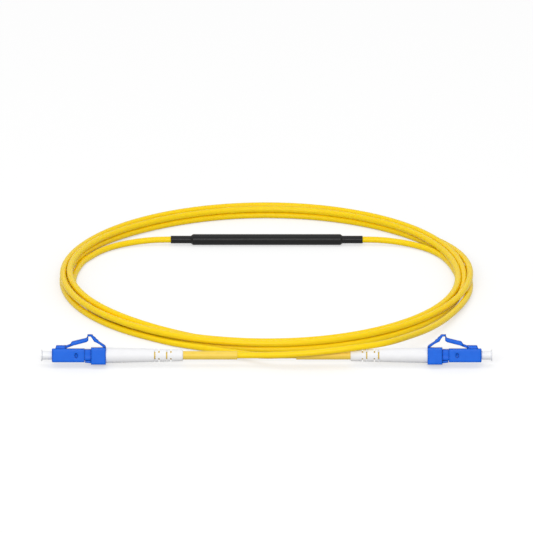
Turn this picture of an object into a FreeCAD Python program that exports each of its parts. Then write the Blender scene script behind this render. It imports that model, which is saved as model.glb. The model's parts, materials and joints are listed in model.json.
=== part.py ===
import FreeCAD
import Part
import math
import os

# Fibre test cable: a coiled simplex cable with a latched plug at each end and a heat-shrunk
# in-line unit half way along. Millimetres, +Z up, X along the plugs, Y to the back.
# A plug is drawn on its own axis: x runs from the housing's front face towards the cable,
# y across and z up. It is then rolled back a little and set in place.

V = FreeCAD.Vector

# Cable and coil
CABLE_D = 2.1
COIL_R = 68.3            # centre line of the outermost turn
COIL_ROW_PITCH = 2.5     # from the outer to the inner column of turns
COIL_HEIGHT = 4.3
LEAD_STRAIGHT = 5.0      # of a lead before its first bend

# Places, measured from the coil's centre
PLUG_HALF_SPAN = 71.6    # centre to each housing's front face
PLUG_Y = -80.0
PLUG_ROLL = 17.0         # degrees that the twist of its lead rolls a plug back
UNIT_Y = 37.9

# Clearances
RUN_FIT = 0.04           # radial, for pieces that slide or turn on each other
SLIP_FIT = 0.05          # a side, for pieces assembled by hand

# Plug housing
HOUSING_SIDE = 4.5
HOUSING_LENGTH = 10.9
HOUSING_EDGE = 0.35
NOSE_CHAMFER = 0.25
NECK_LENGTH = 2.1
NECK_SIDE = 4.1
NECK_BELOW = 1.65        # axis to the underside of neck and tail
TAIL_LENGTH = 3.4
TAIL_SIDE = 3.9
FRONT_BORE_D = 3.1
FRONT_BORE_DEPTH = 4.2
WEB_THICKNESS = 1.0
WEB_BORE_D = 1.7
DIMPLE_X = 8.1
DIMPLE_WIDTH = 0.9
DIMPLE_HEIGHT = 1.5
DIMPLE_DEPTH = 0.35

# Latch, moulded with the housing and bending at its root
LATCH_X = 4.9            # bending line
LATCH_RISE = 0.65        # bending line above the housing's top face
LATCH_ROOT_R = 0.45
LATCH_STEP_X = 6.15      # catch shoulder
LATCH_LENGTH = 7.25      # bending line to the end of the tail
LATCH_ARM_WIDTH = 2.2
LATCH_CATCH_WIDTH = 3.2
LATCH_TAIL_TOP = 3.95    # tail above the housing's top face
LATCH_BLOCK_X = 1.1
LATCH_BLOCK_WIDTH = 2.6

# Trigger clip
CLIP_LENGTH = 5.0
CLIP_WIDTH = 5.5
CLIP_ABOVE = 2.6         # axis to its top face
CLIP_BELOW = 3.0         # axis to its underside
CLIP_EDGE = 0.35
CLIP_TONGUE_LENGTH = 1.95
CLIP_TONGUE_BELOW = 2.5
CLIP_TONGUE_WIDTH = 4.4
CLIP_REAR_WALL = 0.7

# Trigger arm, moulded with the clip and bending at its root
TRIGGER_ROOT_R = 0.4
TRIGGER_INSET = 0.55     # bending line from the clip's rear face
TRIGGER_WIDTH = 3.6
TRIGGER_LIP_GAP = 0.15   # above the latch's tail
TRIGGER_LIP = 0.62       # thickness of the lip
TRIGGER_STEPS = 3

# Ferrule group
FERRULE_D = 1.25
FERRULE_OUT = 1.8        # beyond the housing's front face
FLANGE_D = 2.7
FLANGE_LENGTH = 1.8
FLANGE_TAIL_D = 1.5
FLANGE_TAIL_LENGTH = 1.0
FERRULE_FLOAT = 0.5
SPRING_D = 2.4
SPRING_WIRE_D = 0.3
SPRING_LENGTH = 3.0
SPRING_TURNS = 5
FIBRE_D = 0.9

# Dust cap
CAP_D = 2.9
CAP_FLANGE_D = 3.9
CAP_FLANGE_LENGTH = 0.5
CAP_OUT = 3.6            # beyond the housing's front face
CAP_IN = 3.0
CAP_END_WALL = 1.1

# Rear body, crimp ring, boot and build-up sleeve
POST_BORE_D = 1.1
COLLAR_D = 3.7
COLLAR_LENGTH = 0.9
CRIMP_NECK_D = 2.6
CRIMP_NECK_LENGTH = 5.2
CRIMP_RIDGE = 0.12
CRIMP_RIDGES = 4
CRIMP_WALL = 0.35
CRIMP_GRIP_LENGTH = 2.6  # past the crimp neck, on the cable
BOOT_LENGTH = 25.7
BOOT_FRONT_D = 5.2
BOOT_REAR_D = 3.9
BOOT_EDGE = 0.3
BOOT_SLOT_WIDTH = 0.45
BOOT_SLOT_WEB = 1.8      # width of the webs that a pair of slots leaves
BOOT_SLOTS = (9.4, 5.43)  # side slots, from the boot's cable end
BOOT_SLOT_STEP = 1.4     # from a side slot to the pair above and below
SLEEVE_D = 2.85
SLEEVE_OUT = 18.1        # beyond the boot
SLEEVE_IN = 15.0         # inside the boot

# In-line unit
UNIT_BODY_LENGTH = 49.8
UNIT_BODY_D = 3.7
UNIT_SHOULDER = 0.7
UNIT_NECK_LENGTH = 7.5
UNIT_NECK_D = 2.6
UNIT_TUBE_D = 2.5
UNIT_TUBE_WALL = 0.3
UNIT_FIBRE_D = 0.4

os.makedirs("parts", exist_ok=True)


def rod(diameter, x0, x1):
    return Part.makeCylinder(diameter / 2, x1 - x0, V(x0, 0, 0), V(1, 0, 0))


def box(x0, x1, y0, y1, z0, z1):
    return Part.makeBox(x1 - x0, y1 - y0, z1 - z0, V(x0, y0, z0))


def prism(outline, width):
    """A side outline of (x, z) points, drawn out to a width centred on y = 0."""
    points = [V(x, -width / 2, z) for x, z in outline]
    face = Part.Face(Part.makePolygon(points + points[:1]))
    return face.extrude(V(0, width, 0))


def turned(outline):
    """A closed outline of (x, radius) points, turned about the x axis."""
    points = [V(x, 0, r) for x, r in outline]
    face = Part.Face(Part.makePolygon(points + points[:1]))
    return face.revolve(V(0, 0, 0), V(1, 0, 0), 360)


def barrel(x, z, radius, width):
    return Part.makeCylinder(radius, width, V(x, -width / 2, z), V(0, 1, 0))


def long_edges(solid):
    """The outer edges that run along x."""
    box_y = max(abs(v.Y) for v in solid.Vertexes)
    picked = []
    for edge in solid.Edges:
        ends = [v.Point for v in edge.Vertexes]
        if len(ends) == 2 and abs(ends[0].y - ends[1].y) < 1e-6 and abs(ends[0].z - ends[1].z) < 1e-6:
            if abs(abs(ends[0].y) - box_y) < 1e-6:
                picked.append(edge)
    return picked


# Stations along the plug's axis
web_x = FRONT_BORE_DEPTH
chamber_x = web_x + WEB_THICKNESS
neck_x = HOUSING_LENGTH
clip_x = neck_x + NECK_LENGTH
tail_end_x = clip_x + TAIL_LENGTH
clip_end_x = clip_x + CLIP_LENGTH
boot_end_x = clip_end_x + BOOT_LENGTH
sleeve_end_x = boot_end_x + SLEEVE_OUT
sleeve_start_x = boot_end_x - SLEEVE_IN
housing_top = HOUSING_SIDE / 2
latch_z = housing_top + LATCH_RISE
trigger_x = clip_end_x - TRIGGER_INSET
trigger_z = CLIP_ABOVE + TRIGGER_ROOT_R + RUN_FIT
flange_end_x = chamber_x + FLANGE_LENGTH + FLANGE_TAIL_LENGTH
spring_x = chamber_x + FLANGE_LENGTH + FERRULE_FLOAT + SLIP_FIT
post_x = spring_x + SPRING_LENGTH
collar_end_x = tail_end_x + COLLAR_LENGTH
neck_end_x = collar_end_x + CRIMP_NECK_LENGTH
crimp_end_x = neck_end_x + CRIMP_GRIP_LENGTH
post_d = FRONT_BORE_D - 2 * SLIP_FIT
crimp_bore_d = CRIMP_NECK_D + 2 * CRIMP_RIDGE + 2 * SLIP_FIT
crimp_d = crimp_bore_d + 2 * CRIMP_WALL
sleeve_bore_d = CABLE_D + 2 * SLIP_FIT


def plug_housing():
    half = HOUSING_SIDE / 2
    body = box(0, HOUSING_LENGTH, -half, half, -half, half)
    body = body.makeFillet(HOUSING_EDGE, long_edges(body))
    nose = [edge for edge in body.Edges if edge.BoundBox.XMax < 1e-6]
    body = body.makeChamfer(NOSE_CHAMFER, nose)
    neck = box(neck_x, clip_x, -NECK_SIDE / 2, NECK_SIDE / 2, -NECK_BELOW, NECK_SIDE / 2)
    tail = box(clip_x, tail_end_x, -TAIL_SIDE / 2, TAIL_SIDE / 2, -NECK_BELOW, TAIL_SIDE / 2)
    top = latch_z + LATCH_ROOT_R
    root = prism([(LATCH_BLOCK_X, half - HOUSING_EDGE), (LATCH_BLOCK_X, half), (LATCH_BLOCK_X + 0.4, top),
                  (LATCH_X, top), (LATCH_X, half - HOUSING_EDGE)], LATCH_BLOCK_WIDTH)
    body = body.fuse([neck, tail, root])
    pocket = barrel(LATCH_X, latch_z, LATCH_ROOT_R + RUN_FIT, LATCH_BLOCK_WIDTH)
    bores = [rod(FRONT_BORE_D, 0, web_x), rod(WEB_BORE_D, web_x, chamber_x),
             rod(FRONT_BORE_D, chamber_x, tail_end_x)]
    dimples = []
    for side in (-1, 1):
        straight = DIMPLE_HEIGHT - DIMPLE_WIDTH
        floor_y = side * (half - DIMPLE_DEPTH)
        for z in (-straight / 2, straight / 2):
            dimples.append(Part.makeCylinder(DIMPLE_WIDTH / 2, DIMPLE_DEPTH,
                                             V(DIMPLE_X, floor_y, z), V(0, side, 0)))
        y0, y1 = sorted((floor_y, side * half))
        dimples.append(box(DIMPLE_X - DIMPLE_WIDTH / 2, DIMPLE_X + DIMPLE_WIDTH / 2, y0, y1,
                           -straight / 2, straight / 2))
    return body.cut([pocket] + bores + dimples).removeSplitter()


def latch():
    tail_end = LATCH_X + LATCH_LENGTH
    tail_top = housing_top + LATCH_TAIL_TOP
    top = latch_z + LATCH_ROOT_R
    low = latch_z - LATCH_ROOT_R
    step = LATCH_STEP_X
    arm = prism([(LATCH_X, low), (step + 0.8, low + 0.75), (step + 0.8, top + 0.9),
                 (step, top + 0.45), (LATCH_X, top)], LATCH_ARM_WIDTH)
    catch = prism([(step, low + 0.62), (step + 2.9, low + 1.35), (tail_end - 0.6, tail_top - 1.75),
                   (tail_end, tail_top - 1.3), (tail_end, tail_top), (tail_end - 0.5, tail_top),
                   (tail_end - 0.62, tail_top - 0.4), (step + 0.55, top + 1.3), (step, top + 0.5)],
                  LATCH_CATCH_WIDTH)
    return barrel(LATCH_X, latch_z, LATCH_ROOT_R, LATCH_ARM_WIDTH).fuse([arm, catch]).removeSplitter()


def trigger_clip():
    half = CLIP_WIDTH / 2
    body = box(clip_x + SLIP_FIT, clip_end_x, -half, half, -CLIP_BELOW, CLIP_ABOVE)
    body = body.makeFillet(CLIP_EDGE, long_edges(body))
    tongue_top = -NECK_BELOW - SLIP_FIT
    tongue = prism([(clip_x - CLIP_TONGUE_LENGTH, tongue_top), (clip_x + 0.4, tongue_top),
                    (clip_x + 0.4, -CLIP_TONGUE_BELOW - 0.15),
                    (clip_x - CLIP_TONGUE_LENGTH, -CLIP_TONGUE_BELOW + 0.15)], CLIP_TONGUE_WIDTH)
    pad = prism([(trigger_x, CLIP_ABOVE - CLIP_EDGE), (clip_end_x, CLIP_ABOVE - CLIP_EDGE),
                 (clip_end_x, trigger_z), (trigger_x, trigger_z)], TRIGGER_WIDTH)
    seat = barrel(trigger_x, trigger_z, TRIGGER_ROOT_R + RUN_FIT, TRIGGER_WIDTH)
    window = box(clip_x, clip_end_x - CLIP_REAR_WALL, -TAIL_SIDE / 2 - SLIP_FIT,
                 TAIL_SIDE / 2 + SLIP_FIT, -NECK_BELOW - SLIP_FIT, TAIL_SIDE / 2 + SLIP_FIT)
    hole = rod(crimp_d + 2 * SLIP_FIT, clip_x, clip_end_x)
    return body.fuse([tongue, pad]).cut([seat, window, hole]).removeSplitter()


def trigger():
    lip_x = LATCH_X + LATCH_LENGTH - 0.3
    lip_low = housing_top + LATCH_TAIL_TOP + TRIGGER_LIP_GAP
    lip_top = lip_low + TRIGGER_LIP
    peak_x = lip_x + 1.35
    root_dx = TRIGGER_ROOT_R * 0.75
    foot_x = trigger_x + root_dx
    foot_z = trigger_z + root_dx
    run_x = (foot_x - peak_x - 0.9) * 0.75
    fall_z = (lip_top - foot_z) * 0.72
    upper = [(lip_x, lip_top), (peak_x, lip_top)]
    for n in range(TRIGGER_STEPS):
        x = peak_x + 0.45 + run_x * n / TRIGGER_STEPS
        z = lip_top - fall_z * (n + 0.55) / TRIGGER_STEPS
        upper += [(x, z + 0.32), (x + 0.12, z)]
    lower = [(trigger_x - root_dx, trigger_z - root_dx), (trigger_x - 1.75, trigger_z + 0.8),
             (trigger_x - 2.45, trigger_z + 1.15), (trigger_x - 3.4, trigger_z + 1.6),
             (peak_x + 0.35, lip_low - 0.85), (lip_x + 1.1, lip_low), (lip_x, lip_low)]
    arm = prism(upper + [(foot_x, foot_z)] + lower, TRIGGER_WIDTH)
    return barrel(trigger_x, trigger_z, TRIGGER_ROOT_R, TRIGGER_WIDTH).fuse(arm).removeSplitter()


def dust_cap():
    r_bore = FERRULE_D / 2 + RUN_FIT
    flare = (CAP_FLANGE_D - CAP_D) / 2
    x0 = -CAP_OUT
    return turned([(x0, 0), (x0, CAP_FLANGE_D / 2), (x0 + CAP_FLANGE_LENGTH * 0.5, CAP_FLANGE_D / 2),
                   (x0 + CAP_FLANGE_LENGTH * 0.5 + flare * 0.6, CAP_D / 2), (CAP_IN, CAP_D / 2),
                   (CAP_IN, r_bore), (x0 + CAP_END_WALL, r_bore), (x0 + CAP_END_WALL, 0)])


def ferrule():
    end = chamber_x + FLANGE_LENGTH / 2
    tip = FERRULE_D / 2 - 0.12
    return turned([(-FERRULE_OUT, 0), (-FERRULE_OUT, tip), (-FERRULE_OUT + 0.2, FERRULE_D / 2),
                   (end, FERRULE_D / 2), (end, 0)])


def ferrule_flange():
    seat_x = chamber_x + SLIP_FIT
    head = turned([(seat_x, FERRULE_D / 2), (seat_x, FLANGE_D / 2 - 0.3), (seat_x + 0.3, FLANGE_D / 2),
                   (chamber_x + FLANGE_LENGTH, FLANGE_D / 2), (chamber_x + FLANGE_LENGTH, FLANGE_TAIL_D / 2),
                   (flange_end_x, FLANGE_TAIL_D / 2), (flange_end_x, FIBRE_D / 2),
                   (chamber_x + FLANGE_LENGTH / 2, FIBRE_D / 2), (chamber_x + FLANGE_LENGTH / 2, FERRULE_D / 2)])
    notches = []
    for turn in (0, 90, 180, 270):
        notch = box(seat_x, seat_x + FLANGE_LENGTH / 2, -0.25, 0.25, FLANGE_D / 2 - 0.25, FLANGE_D)
        notch.rotate(V(0, 0, 0), V(1, 0, 0), turn)
        notches.append(notch)
    return head.cut(notches)


def spring():
    pitch = (SPRING_LENGTH - SPRING_WIRE_D) / SPRING_TURNS
    radius = (SPRING_D - SPRING_WIRE_D) / 2
    helix = Part.makeHelix(pitch, pitch * SPRING_TURNS, radius)
    corners = [math.radians(60 * n) for n in range(7)]
    wire = Part.makePolygon([V(radius + SPRING_WIRE_D / 2 * math.cos(a), 0, SPRING_WIRE_D / 2 * math.sin(a))
                             for a in corners])
    coil = Part.Wire(helix).makePipeShell([wire], True, True)
    coil.rotate(V(0, 0, 0), V(0, 1, 0), 90)
    coil.translate(V(spring_x + SPRING_WIRE_D / 2, 0, 0))
    return coil


def rear_body():
    r_bore = POST_BORE_D / 2
    r_neck = CRIMP_NECK_D / 2
    outline = [(post_x, r_bore), (post_x, post_d / 2), (tail_end_x, post_d / 2),
               (tail_end_x, COLLAR_D / 2), (collar_end_x, COLLAR_D / 2), (collar_end_x, r_neck)]
    pitch = CRIMP_NECK_LENGTH / (CRIMP_RIDGES + 1)
    for n in range(CRIMP_RIDGES):
        x = collar_end_x + pitch * (n + 0.5)
        outline += [(x, r_neck), (x + pitch * 0.25, r_neck + CRIMP_RIDGE), (x + pitch * 0.5, r_neck)]
    outline += [(neck_end_x, r_neck), (neck_end_x, r_bore)]
    return turned(outline)


def crimp_ring():
    r_cable = CABLE_D / 2 + SLIP_FIT
    r_wide = crimp_bore_d / 2
    return turned([(collar_end_x, r_wide), (collar_end_x, crimp_d / 2), (neck_end_x, crimp_d / 2),
                   (neck_end_x + 0.5, r_cable + CRIMP_WALL), (crimp_end_x, r_cable + CRIMP_WALL),
                   (crimp_end_x, r_cable), (neck_end_x + 0.3, r_cable), (neck_end_x, r_wide)])


def boot():
    r_front = BOOT_FRONT_D / 2
    r_rear = BOOT_REAR_D / 2
    r_wide = crimp_d / 2 + SLIP_FIT
    r_bore = SLEEVE_D / 2 + SLIP_FIT
    step_x = crimp_end_x + SLIP_FIT
    body = turned([(clip_end_x, r_wide), (clip_end_x, r_front), (boot_end_x - BOOT_EDGE, r_rear),
                   (boot_end_x, r_rear - BOOT_EDGE), (boot_end_x, r_bore), (step_x + 0.5, r_bore),
                   (step_x, r_wide)])
    slots = []
    for back in BOOT_SLOTS:
        x = boot_end_x - back
        for side in (0, 180):
            for dx, turn in ((0, 0), (BOOT_SLOT_STEP, 90)):
                slot = box(x + dx - BOOT_SLOT_WIDTH / 2, x + dx + BOOT_SLOT_WIDTH / 2,
                           BOOT_SLOT_WEB / 2, BOOT_FRONT_D, -BOOT_FRONT_D, BOOT_FRONT_D)
                slot.rotate(V(0, 0, 0), V(1, 0, 0), turn + side)
                slots.append(slot)
    return body.cut(slots)


def buildup_sleeve():
    return rod(SLEEVE_D, sleeve_start_x, sleeve_end_x).cut(rod(sleeve_bore_d, sleeve_start_x, sleeve_end_x))


def cable_end():
    return rod(CABLE_D, neck_end_x + 0.4, sleeve_end_x)


def fibre():
    return rod(FIBRE_D, chamber_x + FLANGE_LENGTH / 2, neck_end_x + 0.4 - FERRULE_FLOAT - SLIP_FIT)


plug_pieces = {
    "dust_cap": dust_cap(),
    "plug_housing": plug_housing(),
    "latch": latch(),
    "trigger_clip": trigger_clip(),
    "trigger": trigger(),
    "ferrule": ferrule(),
    "ferrule_flange": ferrule_flange(),
    "spring": spring(),
    "rear_body": rear_body(),
    "crimp_ring": crimp_ring(),
    "boot": boot(),
    "buildup_sleeve": buildup_sleeve(),
    "cable_end": cable_end(),
    "fibre": fibre(),
}

# The rolled clip stands on its rounded lower back edge, and its lower front edge is the front
# of the whole object. The origin is on the floor, midway from there to the back of the unit.
roll = math.radians(PLUG_ROLL)
edge_y = CLIP_WIDTH / 2 - CLIP_EDGE
edge_z = CLIP_BELOW - CLIP_EDGE
plug_z = edge_y * math.sin(roll) + edge_z * math.cos(roll) + CLIP_EDGE
front_y = PLUG_Y - edge_y * math.cos(roll) - edge_z * math.sin(roll) - CLIP_EDGE
back_y = UNIT_Y + UNIT_BODY_D / 2
coil_y = -(front_y + back_y) / 2


def place_plug(solid, side):
    """Side -1 is the left plug, pointing to -X, and 1 is the right one."""
    placed = solid.copy()
    if side > 0:
        placed.rotate(V(0, 0, 0), V(0, 0, 1), 180)
    placed.rotate(V(0, 0, 0), V(1, 0, 0), -PLUG_ROLL)
    placed.translate(V(side * PLUG_HALF_SPAN, coil_y + PLUG_Y, plug_z))
    return placed


for side, label in ((-1, "left"), (1, "right")):
    for piece, solid in plug_pieces.items():
        place_plug(solid, side).exportStep("parts/%s_%s.step" % (label, piece))

# In-line unit, lying on the floor behind the coil's centre
unit_z = UNIT_BODY_D / 2
half_body = UNIT_BODY_LENGTH / 2
half_unit = half_body + UNIT_NECK_LENGTH
r_body = UNIT_BODY_D / 2
r_neck = UNIT_NECK_D / 2
r_hold = UNIT_TUBE_D / 2 + SLIP_FIT
r_cable = CABLE_D / 2 + SLIP_FIT
half_tube = half_body - UNIT_SHOULDER
shrink_outside = [(-half_unit, r_neck), (-half_body - UNIT_SHOULDER, r_neck), (-half_body, r_body),
                  (half_body, r_body), (half_body + UNIT_SHOULDER, r_neck), (half_unit, r_neck)]
shrink_inside = [(half_unit, r_cable), (half_tube + SLIP_FIT, r_cable), (half_tube + SLIP_FIT, r_hold),
                 (-half_tube - SLIP_FIT, r_hold), (-half_tube - SLIP_FIT, r_cable), (-half_unit, r_cable)]
tube_bore_d = UNIT_TUBE_D - 2 * UNIT_TUBE_WALL
unit_pieces = {
    "shrink_sleeve": turned(shrink_outside + shrink_inside),
    "inline_tube": rod(UNIT_TUBE_D, -half_tube, half_tube).cut(rod(tube_bore_d, -half_tube, half_tube)),
    "inline_fibre": rod(UNIT_FIBRE_D, -half_tube, half_tube),
}
for piece, solid in unit_pieces.items():
    solid.translate(V(0, coil_y + UNIT_Y, unit_z))
    solid.exportStep("parts/%s.step" % piece)


def cord_tube(name, points):
    """A round cable along straight runs joined by tangent arcs, each as large as its runs allow."""
    edges = []
    radii = []
    start = points[0]
    for before, corner, after in zip(points, points[1:], points[2:]):
        back = (before - corner).normalize()
        ahead = (after - corner).normalize()
        half_turn = (math.pi - back.getAngle(ahead)) / 2
        reach = 0.45 * min((before - corner).Length, (after - corner).Length)
        radius = reach / math.tan(half_turn)
        middle = (back + ahead).normalize()
        crown = corner + middle * (radius / math.cos(half_turn) - radius)
        first = corner + back * reach
        last = corner + ahead * reach
        edges.append(Part.LineSegment(start, first).toShape())
        edges.append(Part.Arc(first, crown, last).toShape())
        radii.append(radius)
        start = last
    edges.append(Part.LineSegment(start, points[-1]).toShape())
    path = Part.Wire(edges)
    heading = (points[1] - points[0]).normalize()
    ring = Part.Wire(Part.makeCircle(CABLE_D / 2, points[0], heading))
    solid = path.makePipeShell([ring], True, False)
    ratio = solid.Volume / (math.pi * CABLE_D ** 2 / 4 * path.Length)
    print("%s: %.1f mm, radii %s, volume ratio %.4f"
          % (name, path.Length, " ".join("%.0f" % r for r in radii), ratio))
    return solid


def from_coil_centre(points):
    return [V(x, y + coil_y, z) for x, y, z in points]


# Leads. The left plug's lead crosses over the right plug's and then lies outside the coil.
lead_x = PLUG_HALF_SPAN - sleeve_end_x
cord_points = {
    "left_lead": [(-lead_x, PLUG_Y, plug_z), (LEAD_STRAIGHT - lead_x, PLUG_Y, plug_z), (3.0, -81.8, 4.3),
                  (12.0, -82.7, 5.3), (21.0, -82.2, 6.4), (30.0, -80.2, 7.25), (38.5, -75.2, 6.6),
                  (47.5, -66.0, 4.8), (56.0, -53.8, 2.9), (62.7, -37.3, 1.7), (66.9, -21.5, 1.2),
                  (68.6, -6.0, 1.1), (67.9, 8.0, 1.15)],
    "right_lead": [(lead_x, PLUG_Y, plug_z), (lead_x - LEAD_STRAIGHT, PLUG_Y, plug_z), (0.2, -79.0, 3.05),
                   (-4.3, -76.6, 2.4), (-10.2, -72.6, 1.75), (-18.2, -68.0, 1.3), (-28.5, -63.2, 1.15),
                   (-40.0, -56.3, 1.1), (-50.5, -46.7, 1.1), (-59.0, -35.2, 1.1), (-65.2, -21.8, 1.1),
                   (-68.3, -7.0, 1.1), (-67.9, 8.0, 1.15)],
    "unit_left_lead": [(-half_unit, UNIT_Y, unit_z), (-half_unit - LEAD_STRAIGHT, UNIT_Y, unit_z),
                       (-43.9, 36.9, 1.5), (-50.0, 34.4, 1.2), (-56.2, 30.0, 1.1), (-61.0, 23.4, 1.1),
                       (-63.7, 15.0, 1.1), (-64.8, 5.0, 1.1), (-64.9, -6.0, 1.15), (-63.8, -17.0, 1.2)],
}
cord_points["unit_right_lead"] = [(-x, y, z) for x, y, z in cord_points["unit_left_lead"]]
for name, points in cord_points.items():
    cord_tube(name, from_coil_centre(points)).exportStep("parts/%s.step" % name)

# The coiled turns, as one solid of their outer shape
r_out = COIL_R + CABLE_D / 2
r_in = COIL_R - COIL_ROW_PITCH - CABLE_D / 2
corner = CABLE_D * 0.3
section = [V(r_in + corner, 0, 0), V(r_out - corner, 0, 0), V(r_out, 0, corner), V(r_out, 0, COIL_HEIGHT - corner),
           V(r_out - corner, 0, COIL_HEIGHT), V(r_in + corner, 0, COIL_HEIGHT), V(r_in, 0, COIL_HEIGHT - corner),
           V(r_in, 0, corner)]
coil = Part.Face(Part.makePolygon(section + section[:1])).revolve(V(0, 0, 0), V(0, 0, 1), 360)
coil.translate(V(0, coil_y, 0))
coil.exportStep("parts/cable_coil.step")
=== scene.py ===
import bpy
import json
import math
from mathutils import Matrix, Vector


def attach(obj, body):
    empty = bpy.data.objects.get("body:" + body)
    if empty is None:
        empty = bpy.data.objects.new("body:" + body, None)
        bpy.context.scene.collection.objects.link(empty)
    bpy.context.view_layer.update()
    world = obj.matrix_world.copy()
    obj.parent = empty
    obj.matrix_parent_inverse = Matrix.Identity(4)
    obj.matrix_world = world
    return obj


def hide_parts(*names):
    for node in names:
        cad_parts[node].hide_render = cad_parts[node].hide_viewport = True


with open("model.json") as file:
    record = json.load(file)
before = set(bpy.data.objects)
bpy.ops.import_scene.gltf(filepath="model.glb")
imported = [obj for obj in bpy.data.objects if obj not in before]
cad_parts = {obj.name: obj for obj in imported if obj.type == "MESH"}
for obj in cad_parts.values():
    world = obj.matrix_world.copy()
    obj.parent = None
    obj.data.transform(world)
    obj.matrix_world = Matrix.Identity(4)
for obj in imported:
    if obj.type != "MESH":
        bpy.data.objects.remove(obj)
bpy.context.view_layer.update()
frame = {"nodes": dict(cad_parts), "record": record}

scene = bpy.context.scene
scene.view_settings.view_transform = "Standard"

# Camera: square to the plugs, 20 degrees up, far enough away for perspective to be slight
VIEW_UP = math.radians(20)
VIEW_FAR = 8.0
VIEW_WIDE = 0.1797
SENSOR_WIDE = 36.0
AIM = Vector((-0.00007, 0.03819, 0.0))
camera = bpy.data.objects.new("camera", bpy.data.cameras.new("camera"))
scene.collection.objects.link(camera)
camera.data.sensor_width = SENSOR_WIDE
camera.data.lens = SENSOR_WIDE * VIEW_FAR / VIEW_WIDE
camera.location = AIM + VIEW_FAR * Vector((0, -math.cos(VIEW_UP), math.sin(VIEW_UP)))
camera.rotation_euler = (math.pi / 2 - VIEW_UP, 0, 0)
scene.camera = camera

# Cable, in metres
CABLE_D = 0.0021

# Cable routes, in millimetres from the coil's centre. The leads are points (x, y, z). The turns are
# stations (angle, lane, layer), counter-clockwise seen from above, where a strand changes its place in
# the bundle. Lanes are counted from the inside of the coil and layers from the floor.
MM_IN_METRE = 1000
COIL_Y = 21.835
INNER_LANE_R = 64.4
LANE_STEP = 1.9
LOW_LAYER_Z = 1.05
LAYER_STEP = 2.15
TURN_STEP = 15
LEFT_LEAD = [
    (-9.8, -80, 3.586), (-4.8, -80, 3.586), (3, -81.8, 4.3), (12, -82.7, 5.15), (21, -82.4, 5.95),
    (30, -81.5, 6.9), (39.8, -77.3, 6.8), (48.2, -64.8, 4.95), (54.8, -54.1, 3.65), (61.1, -39.6, 2.4)]
LEFT_TURNS = [
    (345, 2.75, 0.25), (375, 1.25, 0), (405, 0.25, 0), (450, 0, 0), (480, 0, 0), (540, 1.25, 0.6),
    (565, 1.25, 0.6), (590, 1, 0.9), (610, 0.6, 1), (680, 0.75, 1), (700, 0.5, 1), (720, -0.1, 1),
    (735, -0.25, 1), (770, 0, 1), (840, 0, 1), (900, 1, 1.6), (930, 0.6, 1.5), (960, -0.4, 0.85),
    (975, -0.4, 0.4), (1005, 0.4, 0), (1045, 0.4, 0), (1080, 0.1, 0)]
UNIT_RIGHT = [
    (62.5, 14.4, 1.06), (59.7, 22.9, 1.08), (55.6, 29.6, 1.1), (50, 34.4, 1.2),
    (43.9, 36.9, 1.5), (37.4, 37.9, 1.85), (32.4, 37.9, 1.85)]
UNIT_LEFT = [
    (-32.4, 37.9, 1.85), (-37.4, 37.9, 1.85), (-43.9, 36.9, 1.5), (-50, 34.4, 1.2),
    (-55.6, 29.6, 1.1), (-59.7, 22.9, 1.08)]
RIGHT_TURNS = [
    (165, 0, 0), (180, 0.4, 0), (225, 0.5, 0), (260, 1.25, 0), (300, 2, 0), (320, 2, 0),
    (345, 1.25, 0.35), (375, 0.9, 1), (405, 1.5, 1), (450, 2, 1), (510, 2, 1), (555, 2.25, 1.35),
    (585, 2, 1.25), (630, 1.75, 1), (675, 1.85, 1), (715, 2.1, 1.2), (740, 2.2, 0.75), (765, 2, 0.1),
    (795, 1.75, 0), (840, 2, 0), (900, 2.25, 0), (960, 2, 0)]
RIGHT_LEAD = [
    (-28.5, -63.2, 1.15), (-18.2, -68, 1.3), (-10.2, -72.6, 1.75), (-4.3, -76.6, 2.4),
    (0.2, -79, 3.05), (4.8, -80, 3.586), (9.8, -80, 3.586)]


def smooth_line(angles, values):
    """A function of the angle: a smooth line through the values that never swings past them."""
    rises = [(values[n + 1] - values[n]) / (angles[n + 1] - angles[n]) for n in range(len(angles) - 1)]
    slopes = [rises[0]]
    for before, after in zip(rises, rises[1:]):
        slopes.append(2 * before * after / (before + after) if before * after > 0 else 0.0)
    slopes.append(rises[-1])

    def value_at(angle):
        n = max(k for k in range(len(rises)) if angles[k] <= angle)
        span = angles[n + 1] - angles[n]
        t = (angle - angles[n]) / span
        eased = values[n] + (values[n + 1] - values[n]) * t * t * (3 - 2 * t)
        return eased + span * t * (1 - t) * (slopes[n] * (1 - t) - slopes[n + 1] * t)

    return value_at


def turn_points(stations):
    """The turns' points. A point stands a little outside its strand, which the spline cuts inside."""
    angles, lanes, layers = zip(*stations)
    lane_at = smooth_line(angles, lanes)
    layer_at = smooth_line(angles, layers)
    reach = 1 / math.cos(math.radians(TURN_STEP / 2))
    points = []
    for angle in range(angles[0], angles[-1] + 1, TURN_STEP):
        along = math.radians(angle)
        out = (INNER_LANE_R + LANE_STEP * lane_at(angle)) * reach
        height = LOW_LAYER_Z + LAYER_STEP * layer_at(angle)
        points.append((out * math.cos(along), out * math.sin(along), height))
    return points


def cable(name, points):
    """A round cord along the points. The bevel of 1 metre is scaled by each point's radius."""
    curve = bpy.data.curves.new(name, "CURVE")
    curve.dimensions = "3D"
    spline = curve.splines.new("NURBS")
    spline.points.add(len(points) - 1)
    for point, (x, y, z) in zip(spline.points, points):
        point.co = (x / MM_IN_METRE, (y + COIL_Y) / MM_IN_METRE, z / MM_IN_METRE, 1)
        point.radius = CABLE_D / 2
    spline.order_u = 3
    spline.use_endpoint_u = True
    spline.resolution_u = 8
    curve.bevel_depth = 1.0
    curve.bevel_resolution = 7
    curve.use_fill_caps = True
    piece = bpy.data.objects.new(name, curve)
    scene.collection.objects.link(piece)
    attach(piece, "cable")
    return piece


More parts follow.
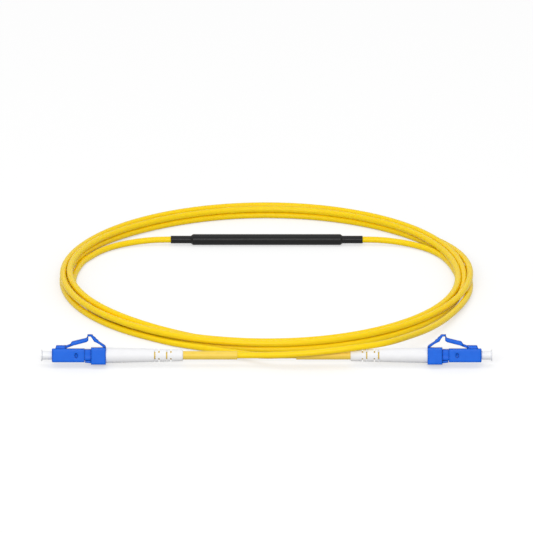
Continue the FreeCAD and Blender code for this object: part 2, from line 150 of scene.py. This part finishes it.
left_cable = cable("left_cable", LEFT_LEAD + turn_points(LEFT_TURNS) + UNIT_RIGHT)
right_cable = cable("right_cable", UNIT_LEFT + turn_points(RIGHT_TURNS) + RIGHT_LEAD)
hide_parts("left_lead", "cable_coil", "unit_right_lead")
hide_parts("right_lead", "unit_left_lead")

# Finishes by material slot. Colours are linear, bump and bevel are in metres, and grain is a noise scale.
LOOKS = {
    "jacket_yellow": dict(
        base=(0.99, 0.69, 0.004), shade=(0.975, 0.66, 0.003), rough=(0.34, 0.42),
        bump=0.0000015, grain=5200, subsurface=0.3, specular=0.22),
    "sleeve_yellow": dict(
        base=(0.90, 0.63, 0.07), shade=(0.87, 0.60, 0.06), rough=(0.4, 0.5),
        bump=0.000002, grain=5200, bevel=0.0001),
    # plug_blue's edges take painted shade: a deeper blue in place of dark edge lines
    "plug_blue": dict(
        base=(0.003, 0.135, 0.74), shade=(0.002, 0.122, 0.70), rough=(0.26, 0.34),
        bump=0.000003, grain=4200, bevel=0.001, specular=0.2, painted_edge_shade=(0.001, 0.02, 0.22)),
    "boot_white": dict(
        base=(0.89, 0.89, 0.90), shade=(0.87, 0.87, 0.885), rough=(0.45, 0.55),
        bump=0.000003, grain=4000, bevel=0.00012, specular=0.25),
    "cap_white": dict(
        base=(0.88, 0.885, 0.895), shade=(0.85, 0.855, 0.87), rough=(0.32, 0.42),
        bump=0.000004, grain=4000, bevel=0.0001),
    "shrink_black": dict(
        base=(0.009, 0.009, 0.0095), shade=(0.007, 0.007, 0.0075), rough=(0.3, 0.4),
        bump=0.000008, grain=3600, bevel=0.00012, specular=0.2),
    "zirconia": dict(
        base=(0.88, 0.87, 0.84), shade=(0.85, 0.84, 0.80), rough=(0.12, 0.2),
        bump=0.000001, grain=6000, bevel=0.00004),
    "buffer_white": dict(
        base=(0.84, 0.84, 0.82), shade=(0.80, 0.80, 0.78), rough=(0.4, 0.5),
        bump=0.000002, grain=6000),
    "steel": dict(
        base=(0.62, 0.61, 0.59), shade=(0.54, 0.53, 0.52), rough=(0.22, 0.36),
        bump=0.000003, grain=7000, bevel=0.00005, metallic=1.0),
}
CLOUD_SIZE = 8                          # clouds of colour, in grains
CLOUD_SPREAD = (0.3, 0.65)              # noise values of full shade and of full base colour
BUMP_STRENGTH = 0.6
BEVEL_SAMPLES = 6
# Painted edge shade: the width in metres of the darker band on edges, which stands in for shade and dark
# reflections there
PAINTED_EDGE_WIDTH = 0.0003
PAINTED_EDGE_TURN = (0.995, 0.85)               # cosines where the painted edge shade starts and is full
SCATTER_RADIUS = (1.0, 0.7, 0.4)
SCATTER_DEPTH = 0.0006


def paint_edge_shade(tree, colour, painted_edge_shade):
    """The colour with painted edge shade mixed in where an edge turns away from its face, in place of
    dark edge lines.
    """
    new = tree.nodes.new
    link = tree.links.new
    rounded = new("ShaderNodeBevel")
    rounded.samples = BEVEL_SAMPLES
    rounded.inputs["Radius"].default_value = PAINTED_EDGE_WIDTH
    flat = new("ShaderNodeNewGeometry")
    turn = new("ShaderNodeVectorMath")
    turn.operation = "DOT_PRODUCT"
    link(rounded.outputs["Normal"], turn.inputs[0])
    link(flat.outputs["True Normal"], turn.inputs[1])
    near = new("ShaderNodeMapRange")
    near.inputs["From Min"].default_value = PAINTED_EDGE_TURN[0]
    near.inputs["From Max"].default_value = PAINTED_EDGE_TURN[1]
    link(turn.outputs["Value"], near.inputs["Value"])
    mix = new("ShaderNodeMix")
    mix.data_type = "RGBA"
    mix.inputs["B"].default_value = (*painted_edge_shade, 1)
    link(near.outputs["Result"], mix.inputs["Factor"])
    link(colour, mix.inputs["A"])
    return mix.outputs["Result"]


def finish_of(name, base, shade, rough, bump, grain, bevel=0.0, subsurface=0.0, specular=0.5,
              metallic=0.0, painted_edge_shade=None):
    """A moulded or extruded surface: base and shade mingle in soft clouds, gloss varies with them,
    and a fine grain stands proud by bump metres. Edges can take painted shade, a deeper colour in place
    of dark edge lines."""
    mat = bpy.data.materials.new(name)
    mat.use_nodes = True
    tree = mat.node_tree
    tree.nodes.clear()
    new = tree.nodes.new
    link = tree.links.new
    out = new("ShaderNodeOutputMaterial")
    shader = new("ShaderNodeBsdfPrincipled")
    link(shader.outputs["BSDF"], out.inputs["Surface"])

    place = new("ShaderNodeTexCoord")
    cloud = new("ShaderNodeTexNoise")
    cloud.inputs["Scale"].default_value = grain / CLOUD_SIZE
    cloud.inputs["Detail"].default_value = 3
    link(place.outputs["Object"], cloud.inputs["Vector"])
    ramp = new("ShaderNodeValToRGB")
    for element, position, colour in zip(ramp.color_ramp.elements, CLOUD_SPREAD, (shade, base)):
        element.position = position
        element.color = (*colour, 1)
    link(cloud.outputs["Fac"], ramp.inputs["Fac"])
    surface_colour = ramp.outputs["Color"]
    # Painted shade: a deeper colour on edges in place of dark edge lines
    if painted_edge_shade:
        surface_colour = paint_edge_shade(tree, surface_colour, painted_edge_shade)
    link(surface_colour, shader.inputs["Base Color"])

    gloss = new("ShaderNodeMapRange")
    gloss.inputs["To Min"].default_value = rough[0]
    gloss.inputs["To Max"].default_value = rough[1]
    link(cloud.outputs["Fac"], gloss.inputs["Value"])
    link(gloss.outputs["Result"], shader.inputs["Roughness"])

    fine = new("ShaderNodeTexNoise")
    fine.inputs["Scale"].default_value = grain
    fine.inputs["Detail"].default_value = 2
    link(place.outputs["Object"], fine.inputs["Vector"])
    relief = new("ShaderNodeBump")
    relief.inputs["Distance"].default_value = bump
    relief.inputs["Strength"].default_value = BUMP_STRENGTH
    link(fine.outputs["Fac"], relief.inputs["Height"])
    if bevel:
        edge = new("ShaderNodeBevel")
        edge.samples = BEVEL_SAMPLES
        edge.inputs["Radius"].default_value = bevel
        link(edge.outputs["Normal"], relief.inputs["Normal"])
    link(relief.outputs["Normal"], shader.inputs["Normal"])

    shader.inputs["Metallic"].default_value = metallic
    shader.inputs["Specular IOR Level"].default_value = specular
    shader.inputs["Subsurface Weight"].default_value = subsurface
    shader.inputs["Subsurface Radius"].default_value = SCATTER_RADIUS
    shader.inputs["Subsurface Scale"].default_value = SCATTER_DEPTH
    return mat


finishes = {slot: finish_of(slot, **look) for slot, look in LOOKS.items()}
slots = {part["node"]: part["material_slot"] for part in frame["record"]["subparts"]}
for name, node in frame["nodes"].items():
    node.data.materials.clear()
    node.data.materials.append(finishes[slots[name]])
for piece in (left_cable, right_cable):
    piece.data.materials.append(finishes["jacket_yellow"])

# Studio: a pale floor just under the object and an even world, both white where they are seen directly
FLOOR_HALF = 3.0
FLOOR_Z = -0.00002
FLOOR_GREY = (0.52, 0.52, 0.52, 1)
FLOOR_GLOW = (0.54, 0.54, 0.54, 1)
WHITE = (1, 1, 1, 1)
WORLD_LIGHT = 0.61


def seen_directly(tree):
    """1 for rays from the camera, a reflection or a clear part, and 0 for light on the object."""
    path = tree.nodes.new("ShaderNodeLightPath")
    first = tree.nodes.new("ShaderNodeMath")
    first.operation = "MAXIMUM"
    tree.links.new(path.outputs["Is Camera Ray"], first.inputs[0])
    tree.links.new(path.outputs["Is Glossy Ray"], first.inputs[1])
    both = tree.nodes.new("ShaderNodeMath")
    both.operation = "MAXIMUM"
    tree.links.new(first.outputs[0], both.inputs[0])
    tree.links.new(path.outputs["Is Transmission Ray"], both.inputs[1])
    return both.outputs[0]


def floor_finish():
    """Matte grey that takes the shadow, with a glow for direct rays that lifts it to white."""
    mat = bpy.data.materials.new("floor")
    mat.use_nodes = True
    tree = mat.node_tree
    tree.nodes.clear()
    out = tree.nodes.new("ShaderNodeOutputMaterial")
    matte = tree.nodes.new("ShaderNodeBsdfDiffuse")
    matte.inputs["Color"].default_value = FLOOR_GREY
    glow = tree.nodes.new("ShaderNodeEmission")
    glow.inputs["Color"].default_value = FLOOR_GLOW
    tree.links.new(seen_directly(tree), glow.inputs["Strength"])
    both = tree.nodes.new("ShaderNodeAddShader")
    tree.links.new(matte.outputs[0], both.inputs[0])
    tree.links.new(glow.outputs[0], both.inputs[1])
    tree.links.new(both.outputs[0], out.inputs["Surface"])
    return mat


def studio_world():
    """Even light on the object, and plain white for direct rays."""
    world = bpy.data.worlds.new("studio")
    world.use_nodes = True
    tree = world.node_tree
    tree.nodes.clear()
    out = tree.nodes.new("ShaderNodeOutputWorld")
    light = tree.nodes.new("ShaderNodeBackground")
    light.inputs["Color"].default_value = WHITE
    light.inputs["Strength"].default_value = WORLD_LIGHT
    white = tree.nodes.new("ShaderNodeBackground")
    white.inputs["Color"].default_value = WHITE
    white.inputs["Strength"].default_value = 1.0
    pick = tree.nodes.new("ShaderNodeMixShader")
    tree.links.new(seen_directly(tree), pick.inputs[0])
    tree.links.new(light.outputs[0], pick.inputs[1])
    tree.links.new(white.outputs[0], pick.inputs[2])
    tree.links.new(pick.outputs[0], out.inputs["Surface"])
    return world


def softbox(name, place, aim, size, watts):
    """A rectangular lamp at place that faces aim."""
    lamp = bpy.data.lights.new(name, "AREA")
    lamp.shape = "RECTANGLE"
    lamp.size = size[0]
    lamp.size_y = size[1]
    lamp.energy = watts
    box = bpy.data.objects.new(name, lamp)
    scene.collection.objects.link(box)
    box.location = place
    box.rotation_euler = (Vector(aim) - Vector(place)).to_track_quat("-Z", "Y").to_euler()


floor_mesh = bpy.data.meshes.new("floor")
corners = [(-FLOOR_HALF, -FLOOR_HALF, FLOOR_Z), (FLOOR_HALF, -FLOOR_HALF, FLOOR_Z),
           (FLOOR_HALF, FLOOR_HALF, FLOOR_Z), (-FLOOR_HALF, FLOOR_HALF, FLOOR_Z)]
floor_mesh.from_pydata(corners, [], [(0, 1, 2, 3)])
floor_mesh.materials.append(floor_finish())
floor = bpy.data.objects.new("floor", floor_mesh)
scene.collection.objects.link(floor)
scene.world = studio_world()
softbox("top_light", place=(0.05, 0.1, 1.5), aim=(0, 0.02, 0), size=(1.5, 0.6), watts=3.0)
softbox("front_light", place=(-0.2, -1.6, 0.85), aim=(0, 0, 0), size=(1.3, 0.4), watts=15.0)
